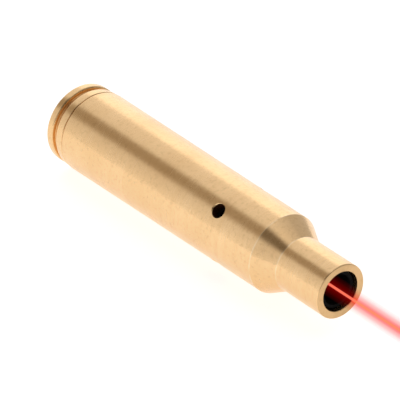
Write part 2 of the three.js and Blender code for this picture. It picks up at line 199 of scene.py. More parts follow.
def lathe(name, corners, segments=INNER_SEGMENTS, closed=True, longest=1.0, ripple=None):
    """Turns an outline of (x, r, fillet) corners about the X axis. Open outlines end on the axis."""
    points = even(rounded(corners, closed), longest, closed)
    bm = bmesh.new()
    rings = []
    for x, r in points:
        if r < 1e-6:
            rings.append([bm.verts.new((mm(x), 0, 0))])
            continue
        ring = []
        for k in range(segments):
            angle = 2 * math.pi * k / segments
            radius = ripple(x, r, angle) if ripple else r
            y, z = -mm(radius) * math.sin(angle), mm(radius) * math.cos(angle)
            ring.append(bm.verts.new((mm(x), y, z)))
        rings.append(ring)
    pairs = zip(rings, rings[1:] + rings[:1]) if closed else zip(rings, rings[1:])
    for a, b in pairs:
        for k in range(segments):
            n = (k + 1) % segments
            quad = [a[k % len(a)], a[n % len(a)], b[n % len(b)], b[k % len(b)]]
            face = [v for i, v in enumerate(quad) if v not in quad[:i]]
            if len(face) > 2:
                bm.faces.new(face)
    bmesh.ops.recalc_face_normals(bm, faces=bm.faces)
    mesh = bpy.data.meshes.new(name)
    bm.to_mesh(mesh)
    bm.free()
    smooth(mesh)
    return add_object(name, mesh)


def wire(name, path, radius, sides=14):
    """A round wire along a list of points, with domed ends."""
    bm = bmesh.new()
    normal = (path[1] - path[0]).normalized().orthogonal().normalized()
    rings = []
    stations = []
    for i, point in enumerate(path):
        ahead = path[min(i + 1, len(path) - 1)] - path[max(i - 1, 0)]
        ahead.normalize()
        normal = (normal - ahead * normal.dot(ahead)).normalized()
        stations.append((point, ahead, normal.copy(), radius))
    first, last = stations[0], stations[-1]
    dome = [(0.9, 0.44), (0.6, 0.8)]
    starts = [(first[0] - first[1] * radius * out, first[1], first[2], radius * wide) for out, wide in dome]
    ends = [(last[0] + last[1] * radius * out, last[1], last[2], radius * wide) for out, wide in dome[::-1]]
    for point, ahead, side, size in [*starts, *stations, *ends]:
        other = ahead.cross(side)
        ring = []
        for k in range(sides):
            angle = 2 * math.pi * k / sides
            offset = (side * math.cos(angle) + other * math.sin(angle)) * size
            ring.append(bm.verts.new((point + offset) * 0.001))
        rings.append(ring)
    for a, b in zip(rings, rings[1:]):
        for k in range(sides):
            n = (k + 1) % sides
            bm.faces.new((a[k], a[n], b[n], b[k]))
    for ring in (rings[0], rings[-1]):
        bm.faces.new(ring)
    bmesh.ops.recalc_face_normals(bm, faces=bm.faces)
    mesh = bpy.data.meshes.new(name)
    bm.to_mesh(mesh)
    bm.free()
    smooth(mesh, 60)
    return add_object(name, mesh)


def spring_path(start, end, start_r, end_r, turns, wire_r):
    """A compression spring's centre line about the X axis, with closed end turns."""
    steps = round(turns * COIL_STEPS)
    path = []
    for i in range(steps + 1):
        t = i / steps
        angle = 2 * math.pi * turns * t
        flat = CLOSED_TURNS / turns
        along = min(max((t - flat) / (1 - 2 * flat), 0), 1)
        x = start + wire_r + (end - start - 2 * wire_r) * along
        r = start_r + (end_r - start_r) * t
        path.append(Vector((x, -r * math.sin(angle), r * math.cos(angle))))
    return path


def spring(name, start, end, start_r, end_r, turns, wire_r):
    return wire(name, spring_path(start, end, start_r, end_r, turns, wire_r), wire_r)


def block(name, low, high, edge):
    """A box with rounded edges."""
    bm = bmesh.new()
    bmesh.ops.create_cube(bm, size=1)
    low, high = Vector(low), Vector(high)
    for v in bm.verts:
        v.co = Vector(((low[i] + high[i]) / 2 + v.co[i] * (high[i] - low[i]) for i in range(3))) * 0.001
    bmesh.ops.bevel(bm, geom=bm.edges[:], offset=mm(edge), segments=3, affect="EDGES", profile=0.5)
    mesh = bpy.data.meshes.new(name)
    bm.to_mesh(mesh)
    bm.free()
    smooth(mesh, 50)
    return add_object(name, mesh)


def carve(target, cutters):
    """Cuts each cutter out of target, and removes the cutters."""
    for cutter in cutters:
        tool = target.modifiers.new("carve", "BOOLEAN")
        tool.operation = "DIFFERENCE"
        tool.solver = "EXACT"
        tool.object = cutter
    graph = bpy.context.evaluated_depsgraph_get()
    mesh = bpy.data.meshes.new_from_object(target.evaluated_get(graph))
    target.modifiers.clear()
    old = target.data
    target.data = mesh
    bpy.data.meshes.remove(old)
    for cutter in cutters:
        data = cutter.data
        bpy.data.objects.remove(cutter)
        bpy.data.meshes.remove(data)
    smooth(mesh, 30)
    mesh.name = target.name
    return target


def turn_mesh(obj, matrix):
    obj.data.transform(matrix)
    return obj


# ---- shader helpers ----
# How finely marks are spread: turning marks in a millimetre, then the features that a metre holds.
FINE_RINGS, COARSE_RINGS = 9.0, 1.6
PATCHES, SMUDGES, WEAR, SPECKS, GRAIN = 160.0, 420.0, 900.0, 2600.0, 6000.0
# The tone of the bright lines at the shoulder and neck: rubbed wear and a painted edge highlight.
WEAR_AND_HIGHLIGHT_TONE = (0.98, 0.8, 0.55)


class Shader:
    """A material's node tree with short names for what the finishes below use."""

    def __init__(self, name, base, roughness, metallic=0.0, **sockets):
        self.material = bpy.data.materials.new(name)
        self.material.use_nodes = True
        self.nodes = self.material.node_tree.nodes
        self.links = self.material.node_tree.links
        self.surface = self.nodes["Principled BSDF"]
        self.set(self.surface, "Base Color", (*base, 1))
        self.set(self.surface, "Roughness", roughness)
        self.set(self.surface, "Metallic", metallic)
        for key, value in sockets.items():
            self.set(self.surface, key.replace("_", " "), value)
        self.coords = self.nodes.new("ShaderNodeTexCoord").outputs["Object"]

    def set(self, node, socket, value):
        if isinstance(value, bpy.types.NodeSocket):
            self.links.new(value, node.inputs[socket])
        else:
            node.inputs[socket].default_value = value

    def math(self, operation, a, b=0.0):
        node = self.nodes.new("ShaderNodeMath")
        node.operation = operation
        self.set(node, 0, a)
        self.set(node, 1, b)
        return node.outputs[0]

    def noise(self, vector, scale, detail=2.0, roughness=0.5, distortion=0.0):
        node = self.nodes.new("ShaderNodeTexNoise")
        self.set(node, "Vector", vector)
        self.set(node, "Scale", scale)
        self.set(node, "Detail", detail)
        self.set(node, "Roughness", roughness)
        self.set(node, "Distortion", distortion)
        return node.outputs["Fac"]

    def scaled(self, vector, scale):
        node = self.nodes.new("ShaderNodeMapping")
        self.set(node, "Vector", vector)
        self.set(node, "Scale", scale)
        return node.outputs["Vector"]

    def level(self, value, low, high, to_low, to_high):
        node = self.nodes.new("ShaderNodeMapRange")
        self.set(node, "Value", value)
        self.set(node, "From Min", low)
        self.set(node, "From Max", high)
        self.set(node, "To Min", to_low)
        self.set(node, "To Max", to_high)
        return node.outputs["Result"]

    def mix(self, factor, a, b):
        node = self.nodes.new("ShaderNodeMix")
        node.data_type = "RGBA"
        self.set(node, 0, factor)
        self.set(node, 6, (*a, 1) if isinstance(a, tuple) else a)
        self.set(node, 7, (*b, 1) if isinstance(b, tuple) else b)
        return node.outputs[2]

    def bump(self, height, depth_mm, under=None):
        node = self.nodes.new("ShaderNodeBump")
        self.set(node, "Height", height)
        self.set(node, "Distance", mm(depth_mm))
        self.set(node, "Strength", 1.0)
        if under:
            self.set(node, "Normal", under)
        return node.outputs["Normal"]

    def rings(self, per_mm, wander=0.02):
        """Turning marks: noise that varies along X and along the radius, and hardly round the axis."""
        split = self.nodes.new("ShaderNodeSeparateXYZ")
        self.set(split, "Vector", self.coords)
        x, y, z = split.outputs
        square = self.math("ADD", self.math("MULTIPLY", y, y), self.math("MULTIPLY", z, z))
        along = self.math("ADD", x, self.math("SQRT", square))
        merged = self.nodes.new("ShaderNodeCombineXYZ")
        self.set(merged, 0, along)
        self.set(merged, 1, self.math("MULTIPLY", y, wander))
        self.set(merged, 2, self.math("MULTIPLY", z, wander))
        return self.noise(merged.outputs[0], per_mm * 1000, detail=3.0, roughness=0.6)

    def near_place(self, place, reach):
        """Most at a place along X, in mm, falling to 0 at reach from it, and broken up by noise."""
        split = self.nodes.new("ShaderNodeSeparateXYZ")
        self.set(split, "Vector", self.coords)
        away = self.math("ABSOLUTE", self.math("SUBTRACT", split.outputs[0], mm(place)))
        close = self.level(away, 0.0, mm(reach), 1.0, 0.0)
        return self.math("MULTIPLY", close, self.level(self.noise(self.coords, WEAR), 0.35, 0.65, 0.1, 0.7))

    def colour(self, socket):
        self.set(self.surface, "Base Color", socket)

    def rough(self, socket):
        self.set(self.surface, "Roughness", socket)

    def normal(self, socket):
        self.set(self.surface, "Normal", socket)


def brass_finish(name, shade, low, high, wear_and_highlight_edges=()):
    """Turned brass. Shade scales its colour, and the last argument lists places along X, in mm, lightened
    as rubbed wear and a painted edge highlight.
    """

    def tint(*colour):
        return tuple(c * k for c, k in zip(colour, shade))

    s = Shader(name, tint(0.87, 0.58, 0.3), low, 1.0, Anisotropic=0.55, Anisotropic_Rotation=0.25)
    tangent = s.nodes.new("ShaderNodeTangent")
    tangent.direction_type = "RADIAL"
    tangent.axis = "X"
    s.set(s.surface, "Tangent", tangent.outputs[0])
    fine = s.rings(FINE_RINGS)
    coarse = s.rings(COARSE_RINGS, wander=0.05)
    patches = s.noise(s.coords, PATCHES, detail=4.0)
    specks = s.noise(s.coords, SPECKS, detail=2.0)
    tone = s.mix(s.level(patches, 0.35, 0.65, 0.0, 1.0), tint(0.9, 0.605, 0.32), tint(0.845, 0.55, 0.275))
    tone = s.mix(s.level(coarse, 0.35, 0.7, 0.0, 0.35), tone, tint(0.78, 0.49, 0.23))
    tone = s.mix(s.level(specks, 0.52, 0.74, 0.0, 0.5), tone, tint(0.66, 0.42, 0.2))
    tone = s.mix(s.level(fine, 0.3, 0.75, 0.0, 0.18), tone, tint(0.93, 0.66, 0.38))
    # Lighten the listed edges: rubbed wear and a painted edge highlight.
    for place in wear_and_highlight_edges:
        tone = s.mix(s.near_place(place, EDGE_WEAR_AND_HIGHLIGHT), tone, WEAR_AND_HIGHLIGHT_TONE)
    s.colour(tone)
    smudge = s.noise(s.coords, SMUDGES, detail=3.0, distortion=0.6)
    s.rough(s.math("ADD", s.level(fine, 0.2, 0.8, low, high), s.level(smudge, 0.3, 0.7, -0.03, 0.06)))
    marks = s.bump(fine, 0.0022, under=s.bump(specks, 0.0012))
    s.normal(s.bump(coarse, 0.0026, under=marks))
    return s.material


def black_finish(name, tone, low, high, marks_per_mm):
    s = Shader(name, tone, low, 0.0, Specular_IOR_Level=0.06)
    rings = s.rings(marks_per_mm)
    worn = s.noise(s.coords, WEAR, detail=3.0)
    s.colour(s.mix(s.level(worn, 0.45, 0.8, 0.0, 0.5), tone, tuple(2.4 * c for c in tone)))
    s.rough(s.level(rings, 0.3, 0.7, low, high))
    s.normal(s.bump(rings, 0.002))
    return s.material


def steel_finish(name, tone, low, high):
    s = Shader(name, tone, low, 1.0)
    drawn = s.noise(s.scaled(s.coords, (3000, 900, 900)), 1.0, detail=3.0)
    spots = s.noise(s.coords, 700.0, detail=2.0)
    s.colour(s.mix(s.level(spots, 0.4, 0.75, 0.0, 0.4), tone, tuple(0.72 * c for c in tone)))
    s.rough(s.level(drawn, 0.3, 0.7, low, high))
    s.normal(s.bump(drawn, 0.001))
    return s.material


def moulded_finish(name, tone, roughness, grain_mm=0.003, **sockets):
    s = Shader(name, tone, roughness, 0.0, **sockets)
    grain = s.noise(s.coords, GRAIN, detail=3.0)
    cloud = s.noise(s.coords, 500.0, detail=2.0)
    s.colour(s.mix(s.level(cloud, 0.35, 0.7, 0.0, 0.6), tone, tuple(0.8 * c for c in tone)))
    s.rough(s.level(grain, 0.3, 0.7, roughness - 0.08, min(1.0, roughness + 0.08)))
    s.normal(s.bump(grain, grain_mm))
    return s.material


def glass_finish():
    s = Shader("coated_glass", (0.93, 0.95, 0.98), 0.02, 0.0, Transmission_Weight=1.0, IOR=1.52)
    tint = s.noise(s.coords, 300.0)
    s.colour(s.mix(s.level(tint, 0.3, 0.7, 0.0, 1.0), (0.96, 0.93, 0.97), (0.88, 0.93, 0.98)))
    s.normal(s.bump(s.noise(s.coords, 2500.0), 0.0001))
    return s.material


# The shoulder and neck edges are lightened: rubbed wear and a painted edge highlight.
BRASS = brass_finish("brass_turned", (1.0, 1.0, 1.0), 0.17, 0.27, (SHOULDER_X, NECK_X))
# A darker, greyer copy of the brass for the mouth's end face: painted shade. Its higher roughness is the
# faced finish.
FACED_SHADED_BRASS = brass_finish("brass_faced_painted_shade", (0.83, 0.81, 0.77), 0.34, 0.46)
# A slightly darker, warmer copy of the brass for the extractor groove and the seam: painted shade in the
# recess. Its higher roughness is the finish.
GROOVE_SHADED_BRASS = brass_finish("brass_groove_painted_shade", (0.99, 0.93, 0.82), 0.3, 0.42)
# A near-black, red-brown copy of the brass for the walls of the aiming holes: painted shade inside the
# holes.
HOLE_SHADE_BRASS = brass_finish("brass_hole_painted_shade", (0.075, 0.036, 0.026), 0.6, 0.75)
ANODISED = black_finish("black_anodised", (0.004, 0.0036, 0.0038), 0.6, 0.75, 6.0)
BLACK_STEEL = black_finish("black_oxide", (0.007, 0.005, 0.004), 0.5, 0.65, 8.0)
SPRING_STEEL = steel_finish("spring_steel", (0.56, 0.57, 0.58), 0.2, 0.34)
CELL_STEEL = steel_finish("nickel_plate", (0.66, 0.65, 0.62), 0.16, 0.3)
GOLD = steel_finish("gold_plate", (0.83, 0.56, 0.2), 0.18, 0.3)
GREY_RUBBER = moulded_finish("grey_rubber", (0.1, 0.1, 0.105), 0.7, 0.006)
BLACK_RUBBER = moulded_finish("black_rubber", (0.016, 0.016, 0.018), 0.6, 0.004)
NYLON = moulded_finish("natural_nylon", (0.8, 0.77, 0.67), 0.5, Subsurface_Weight=0.15)
BOARD_GREEN = moulded_finish("solder_mask", (0.02, 0.14, 0.055), 0.35, 0.002, Coat_Weight=0.4)
CHIP_BLACK = moulded_finish("moulded_epoxy", (0.02, 0.02, 0.022), 0.5, 0.004)
CERAMIC = moulded_finish("fired_ceramic", (0.42, 0.29, 0.17), 0.45, 0.003)
GLASS = glass_finish()


def finish_piece(obj, body, material, slot, *nodes):
    """Gives a piece its material and body, and hides the CAD nodes that it stands for. The slot argument is
    not used.
    """
    obj.data.materials.clear()
    obj.data.materials.append(material)
    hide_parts(*nodes)
    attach(obj, body)
    return obj


def boxed_piece(name, node, edge, material, slot):
    """A rounded block in the place of a box-shaped CAD node."""
    low, high = (corner * 1000 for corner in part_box(node))
    finish_piece(block(name, low, high, edge), "laser_module", material, slot, node)


def refinish(obj, material, chosen):
    """Gives another material to the faces whose centre, in mm, is chosen."""
    obj.data.materials.append(material)
    index = len(obj.data.materials) - 1
    for polygon in obj.data.polygons:
        if chosen(polygon.center * 1000):
            polygon.material_index = index


# ---- shell ----
def in_tapped_hole(centre):
    """True for a place on the wall of one of the aiming holes, below its chamfer."""
    if math.hypot(centre.y, centre.z) > surface_radius(centre.x) - 0.6 * HOLE_CHAMFER:
        return False
    for i in range(SCREW_COUNT):
        local = radial_frame(i).inverted() @ (centre * 0.001) * 1000
        if local.x > 0 and math.hypot(local.y, local.z) < HOLE_R + 0.01:
            return True
    return False


def make_shell():
    corners = [
        (SEAM_X, CELL_BORE_R, 0.08),
        (CELL_BORE_END, CELL_BORE_R, 0.05),
        (CELL_BORE_END, MODULE_BORE_R, 0.05),
        (MODULE_BORE_END, MODULE_BORE_R, 0.05),
        (MODULE_BORE_END + MODULE_BORE_TAPER, TUBE_BORE_R, 0.05),
        (TUBE_BORE_END, TUBE_BORE_R, 0.1),
        (TUBE_BORE_END + TUBE_BORE_TAPER, NECK_BORE_R, 0.1),
        (CASE_LENGTH, NECK_BORE_R, MOUTH_EDGE * 0.7),
        (CASE_LENGTH, NECK_R, MOUTH_EDGE),
        (NECK_X, NECK_R, 0.06),
        (SHOULDER_X, SHOULDER_R, 0.05),
        (SEAM_X, BODY_REAR_R, 0.2),
    ]
    shell = lathe("shell", corners, SEGMENTS)
    cutters = []
    mouth_r = surface_radius(SCREW_X)
    for i in range(SCREW_COUNT):
        hole = lathe(
            f"hole_cutter_{i}",
            [
                (HOLE_START_R, 0, 0),
                (HOLE_START_R, HOLE_R, 0),
                (mouth_r - HOLE_CHAMFER, HOLE_R, 0),
                (mouth_r + OVERSHOOT, HOLE_R + HOLE_CHAMFER + OVERSHOOT, 0),
                (mouth_r + OVERSHOOT, 0, 0),
            ],
            64,
            closed=False,
        )
        cutters.append(turn_mesh(hole, radial_frame(i)))
    carve(shell, cutters)
    finish_piece(shell, "case", BRASS, "brass", "case_body")
    # The mouth's end face gets the darker copy of the brass: painted shade.
    refinish(shell, FACED_SHADED_BRASS, lambda centre: centre.x > CASE_LENGTH - 0.3 * MOUTH_EDGE)
    # The walls of the aiming holes get the near-black copy of the brass: painted shade.
    refinish(shell, HOLE_SHADE_BRASS, in_tapped_hole)


def surface_radius(x):
    """The body's outer radius at a place along the axis."""
    t = (x - SEAM_X) / (SHOULDER_X - SEAM_X)
    return BODY_REAR_R + (SHOULDER_R - BODY_REAR_R) * t


def radial_frame(index):
    """Takes +X to the outward direction of one aiming screw."""
    angle = SCREW_CLOCK + index * 2 * math.pi / SCREW_COUNT
    outward = Matrix.Rotation(-math.pi / 2, 4, "Y")
    return Matrix.Translation((mm(SCREW_X), 0, 0)) @ Matrix.Rotation(angle, 4, "X") @ outward


# ---- base cap ----
def thread_ripple(first, last, crest, root, pitch):
    """A right-handed thread on the stretch of a turned surface between two places on the axis."""

    def ripple(x, r, angle):
        if not first < x < last or r < root:
            return r
        turns = (x - first) / pitch + angle / (2 * math.pi)
        wave = abs(2 * (turns % 1.0) - 1)
        fade = min(1.0, (x - first) / (THREAD_FADE * pitch), (last - x) / (THREAD_FADE * pitch))
        return crest - (crest - root) * wave * fade

    return ripple


def in_groove_or_seam(centre):
    """True for a place inside the extractor groove or on the collar's face at the seam."""
    radius = math.hypot(centre.y, centre.z)
    groove = RIM_X - 0.02 < centre.x < COLLAR_X and radius < COLLAR_R - 0.06
    seam = centre.x > SEAM_X - SEAM_GAP - 0.02 and radius < COLLAR_R - 0.04
    return groove or seam


def make_cap():
    head_end = SEAM_X - SEAM_GAP
    pocket = [
        (0, PAD_R + PAD_GAP, 0.05),
        (PAD_DEPTH + PAD_GAP, PAD_R + PAD_GAP, 0.05),
        (PAD_DEPTH + PAD_GAP, 0, 0),
    ]
    first, last = head_end + THREAD_SETBACK, BOSS_END - THREAD_RUNOUT
    steps = round((last - first) * THREAD_STEPS / CAP_PITCH)
    crest = [(last + (first - last) * k / steps, BOSS_R, 0) for k in range(steps + 1)]
    outside = [
        (RECESS_X, 0, 0),
        (RECESS_X, RECESS_R, 0.1),
        (BOSS_END, RECESS_R, 0.1),
        (BOSS_END, BOSS_R, 0.12),
        *crest,
        (head_end, BOSS_R, 0.03),
        (head_end, COLLAR_R, 0.14),
        (COLLAR_X, COLLAR_R - COLLAR_DROP, 0.3),
        (GROOVE_FLOOR_END, GROOVE_R, 0.1),
        (RIM_X, GROOVE_R, 0.1),
        (RIM_X, RIM_R, 0.2),
        (0, RIM_R, 0.16),
    ]
    ripple = thread_ripple(first, last, BOSS_R, BOSS_ROOT_R, CAP_PITCH)
    cap = lathe("screw_cap", outside + pocket, SEGMENTS, closed=False, longest=0.3, ripple=ripple)
    slots = [
        block(
            f"key_cutter_{side}",
            (-OVERSHOOT, min(side * KEY_INNER, side * KEY_OUTER), -KEY_WIDTH / 2),
            (KEY_DEPTH, max(side * KEY_INNER, side * KEY_OUTER), KEY_WIDTH / 2),
            0.12,
        )
        for side in (-1, 1)
    ]
    carve(cap, slots)
    finish_piece(cap, "base_cap", BRASS, "brass", "base_cap")
    # The groove and the seam face get the darker copy of the brass: painted shade in the recess.
    refinish(cap, GROOVE_SHADED_BRASS, in_groove_or_seam)

    pad = lathe(
        "centre_pad",
        [(PAD_DEPTH, 0, 0), (PAD_DEPTH, PAD_R, 0.08), (0, PAD_R, 0.14), (0, 0, 0)],
        closed=False,
        longest=0.25,
    )
    finish_piece(pad, "base_cap", GREY_RUBBER, "grey_rubber", "primer_pad")

    coil = spring("cap_spring_wire", RECESS_X + SPRING_GAP, CELL_X - SPRING_GAP, *CAP_SPRING)
    finish_piece(coil, "cap_spring", SPRING_STEEL, "spring_steel", "cap_contact_spring")


# ---- cells and their sleeve ----
def make_cells():
    sleeve = lathe(
        "insulating_sleeve",
        [
            (SLEEVE_X, SLEEVE_INNER_R, 0.06),
            (SLEEVE_END, SLEEVE_INNER_R, 0.06),
            (SLEEVE_END, SLEEVE_R, 0.06),
            (SLEEVE_X, SLEEVE_R, 0.06),
        ],
    )
    finish_piece(sleeve, "case", NYLON, "nylon", "battery_sleeve")
    for i in range(CELL_COUNT):
        rear = CELL_X + i * (CELL_LENGTH + CELL_GAP)
        front = rear + CELL_LENGTH
        name = f"cell_{i + 1}"
        can = lathe(
            f"{name}_shell",
            [
                (front - CELL_CAN_FLOOR, 0, 0),
                (front - CELL_CAN_FLOOR, CAN_INNER_R, 0.1),
                (rear + CELL_CAN_SETBACK, CAN_INNER_R, 0.03),
                (rear + CELL_CAN_SETBACK, CELL_R, 0.1),
                (front, CELL_R, 0.25),
                (front, 0, 0),
            ],
            closed=False,
        )
        finish_piece(can, "cell_stack", CELL_STEEL, "cell_steel", f"{name}_can")
        seal = lathe(
            f"{name}_gasket",
            [
                (rear + SEAL_SETBACK, LID_R + SEAL_GAP, 0.05),
                (front - CELL_CAN_FLOOR - SEAL_GAP, LID_R + SEAL_GAP, 0.05),
                (front - CELL_CAN_FLOOR - SEAL_GAP, CAN_INNER_R - SEAL_GAP, 0.05),
                (rear + SEAL_SETBACK, CAN_INNER_R - SEAL_GAP, 0.05),
            ],
        )
        finish_piece(seal, "cell_stack", NYLON, "nylon", f"{name}_seal")
        lid = lathe(
            f"{name}_cap",
            [
                (rear, 0, 0),
                (rear, LID_R, 0.25),
                (front - LID_SETBACK, LID_R, 0.05),
                (front - LID_SETBACK, LID_R - LID_SKIN, 0.05),
                (rear + LID_SKIN, LID_R - LID_SKIN, 0.15),
                (rear + LID_SKIN, 0, 0),
            ],
            closed=False,
        )
        finish_piece(lid, "cell_stack", CELL_STEEL, "cell_steel", f"{name}_lid")


# ---- laser module ----
def make_module():
    barrel = lathe(
        "module_tube",
        [
            (HOUSING_X, BOARD_BORE_R, 0.05),
            (HEADER_X - SEAT_GAP, BOARD_BORE_R, 0.05),
            (HEADER_X - SEAT_GAP, HEADER_R + HEADER_SIDE_GAP, 0.02),
            (HEADER_END + SEAT_GAP, HEADER_R + HEADER_SIDE_GAP, 0.02),
            (HEADER_END + SEAT_GAP, CAN_R + CAN_SIDE_GAP, 0.02),
            (CAN_END + CAN_END_GAP, CAN_R + CAN_SIDE_GAP, 0.02),
            (CAN_END + CAN_END_GAP, LIGHT_BORE_R, 0.02),
            (LENS_SEAT_X, LIGHT_BORE_R, 0.02),
            (LENS_SEAT_X, LENS_BORE_R, 0.02),
            (TUBE_END, LENS_BORE_R, 0.08),
            (TUBE_END, TUBE_R, 0.08),
            (PIVOT_X + RING_GROOVE_HALF, TUBE_R, 0.03),
            (PIVOT_X + RING_GROOVE_HALF, RING_GROOVE_R, 0.01),
            (PIVOT_X - RING_GROOVE_HALF, RING_GROOVE_R, 0.01),
            (PIVOT_X - RING_GROOVE_HALF, TUBE_R, 0.03),
            (HOUSING_END, TUBE_R, 0.08),
            (HOUSING_END, HOUSING_R, 0.12),
            (HOUSING_X, HOUSING_R, 0.12),
        ],
    )
    finish_piece(barrel, "laser_module", ANODISED, "black_anodised", "module_barrel")

    loop = []
    for k in range(RING_WIRE_SIDES):
        angle = 2 * math.pi * k / RING_WIRE_SIDES
        loop.append((PIVOT_X + RING_WIRE_R * math.sin(angle), RING_R - RING_WIRE_R * math.cos(angle), 0))
    ring = lathe("o_ring", loop)
    finish_piece(ring, "pivot_ring", BLACK_RUBBER, "black_rubber", "pivot_ring")

    coil = spring("lens_preload_spring", LENS_SPRING_X, LENS_SPRING_END, *LENS_SPRING)
    finish_piece(coil, "laser_module", SPRING_STEEL, "spring_steel", "lens_spring")

    crown_r = RETAINER_BORE_R - LENS_CROWN_GAP
    crown = []
    for k in range(LENS_CROWN_STEPS + 1):
        t = k / LENS_CROWN_STEPS
        crown.append((LENS_EDGE_X + (LENS_TOP - LENS_EDGE_X) * (1 - (1 - t) ** 2), crown_r * (1 - t), 0))
    lens = lathe(
        "aspheric_lens",
        [(LENS_X, 0, 0), (LENS_X, LENS_R, 0.06), (LENS_EDGE_X, LENS_R, 0.06), *crown],
        closed=False,
        longest=0.3,
    )
    finish_piece(lens, "lens", GLASS, "glass", "collimating_lens")

    retainer = lathe(
        "lens_lock_ring",
        [
            (RETAINER_X, RETAINER_BORE_R, 0.04),
            (RETAINER_END, RETAINER_BORE_R, 0.08),
            (RETAINER_END, RETAINER_R, 0.06),
            (RETAINER_X, RETAINER_R, 0.04),
        ],
        longest=0.25,
    )
    low = (RETAINER_END - NOTCH_DEPTH, -1.5 * RETAINER_R, -NOTCH_WIDTH / 2)
    high = (RETAINER_END + OVERSHOOT, 1.5 * RETAINER_R, NOTCH_WIDTH / 2)
    notch = block("notch_cutter", low, high, 0.04)
    carve(retainer, [notch])
    finish_piece(retainer, "lens_retainer", ANODISED, "black_anodised", "lens_retainer")


def make_diode():
    face = HEADER_END + WINDOW_GAP
    header = lathe(
        "diode_base",
        [(HEADER_X, 0, 0), (HEADER_X, HEADER_R, 0.08), (HEADER_END, HEADER_R, 0.08), (HEADER_END, 0, 0)],
        closed=False,
    )
    finish_piece(header, "laser_module", GOLD, "gold_plate", "diode_header")
    can = lathe(
        "diode_cap",
        [
            (face, CAN_R - CAN_SHELL, 0.03),
            (CAN_END - CAN_SHELL, CAN_R - CAN_SHELL, 0.05),
            (CAN_END - CAN_SHELL, APERTURE_R, 0.03),
            (CAN_END, APERTURE_R, 0.03),
            (CAN_END, CAN_R, 0.12),
            (face, CAN_R, 0.03),
        ],
    )
    finish_piece(can, "laser_module", GOLD, "gold_plate", "diode_can")
    pane_end = CAN_END - CAN_SHELL - WINDOW_GAP
    pane_x = pane_end - WINDOW_THICK
    pane = lathe(
        "diode_pane",
        [(pane_x, 0, 0), (pane_x, WINDOW_R, 0.03), (pane_end, WINDOW_R, 0.03), (pane_end, 0, 0)],
        closed=False,
    )
    finish_piece(pane, "laser_module", GLASS, "glass", "diode_window")
    for name, node, edge, material, slot in (
        ("heat_post", "diode_post", 0.06, GOLD, "gold_plate"),
        ("emitter", "laser_chip", 0.02, CHIP_BLACK, "chip_black"),
    ):
        boxed_piece(name, node, edge, material, slot)
    for i in range(3):
        node = f"diode_pin_{i + 1}"
        low, high = (corner * 1000 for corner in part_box(node))
        middle, radius = (low + high) / 2, (high.y - low.y) / 2
        start, end = low.x + PIN_DOME, high.x - PIN_DOME
        path = []
        for k in range(PIN_STEPS + 1):
            path.append(Vector((start + (end - start) * k / PIN_STEPS, middle.y, middle.z)))
        pin = wire(f"lead_{i + 1}", path, radius, 20)
        finish_piece(pin, "laser_module", GOLD, "gold_plate", node)


def make_driver():
    board = lathe(
        "circuit_board",
        [(BOARD_X, 0, 0), (BOARD_X, BOARD_R, 0.03), (BOARD_END, BOARD_R, 0.03), (BOARD_END, 0, 0)],
        closed=False,
    )
    finish_piece(board, "laser_module", BOARD_GREEN, "board_green", "driver_board")
    boxed_piece("driver_ic", "driver_chip", 0.05, CHIP_BLACK, "chip_black")
    boxed_piece("chip_resistor", "driver_resistor", 0.04, CERAMIC, "ceramic_tan")
    boxed_piece("chip_capacitor", "driver_capacitor", 0.06, CERAMIC, "ceramic_tan")
    coil = spring("contact_spring_wire", CELLS_END + SPRING_GAP, BOARD_X - SPRING_GAP, *MODULE_SPRING)
    finish_piece(coil, "laser_module", SPRING_STEEL, "spring_steel", "module_contact_spring")


def make_screws():
    root = SCREW_R - SCREW_THREAD_DEPTH
    ripple = thread_ripple(SCREW_THREAD_X, SCREW_THREAD_END, SCREW_R, root, SCREW_PITCH)
    corner = HEX_FLATS / math.sqrt(3)
    depth = SCREW_TOP - HEX_DEPTH
    cut_top = SCREW_TOP + OVERSHOOT
    for i in range(SCREW_COUNT):
        screw = lathe(
            f"grub_screw_{i + 1}",
            [(SCREW_TOP, 0, 0), (SCREW_TOP, SCREW_R, 0.1), (SCREW_TIP, SCREW_R, 0.12), (SCREW_TIP, 0, 0)],
            64,
            closed=False,
            longest=0.05,
            ripple=ripple,
        )
        socket = lathe(
            f"socket_cutter_{i}",
            [(depth - HEX_POINT, 0, 0), (depth, corner, 0), (cut_top, corner, 0), (cut_top, 0, 0)],
            6,
            closed=False,
            longest=9,
        )
        carve(screw, [socket])
        turn_mesh(screw, radial_frame(i))
        finish_piece(screw, f"aim_screw_{i + 1}", BLACK_STEEL, "black_steel", f"aim_screw_{i + 1}")


# ---- stage: floor, beam, light and camera ----
def make_floor():
    s = Shader("studio_floor", (0.6, 0.6, 0.6), 0.6)
    s.set(s.surface, "Specular IOR Level", 0.1)
    s.colour(s.mix(s.noise(s.coords, 40.0), FLOOR_LIGHT, FLOOR_DARK))
    s.set(s.surface, "Emission Color", (1, 1, 1, 1))
    s.set(s.surface, "Emission Strength", FLOOR_GLOW)
    size = mm(FLOOR_HALF)
    mesh = bpy.data.meshes.new("floor")
    z = mm(FLOOR_Z)
    square = [(-size, -size, z), (size, -size, z), (size, size, z), (-size, size, z)]
    mesh.from_pydata(square, [], [(0, 1, 2, 3)])
    mesh.materials.append(s.material)
    add_object("floor", mesh)


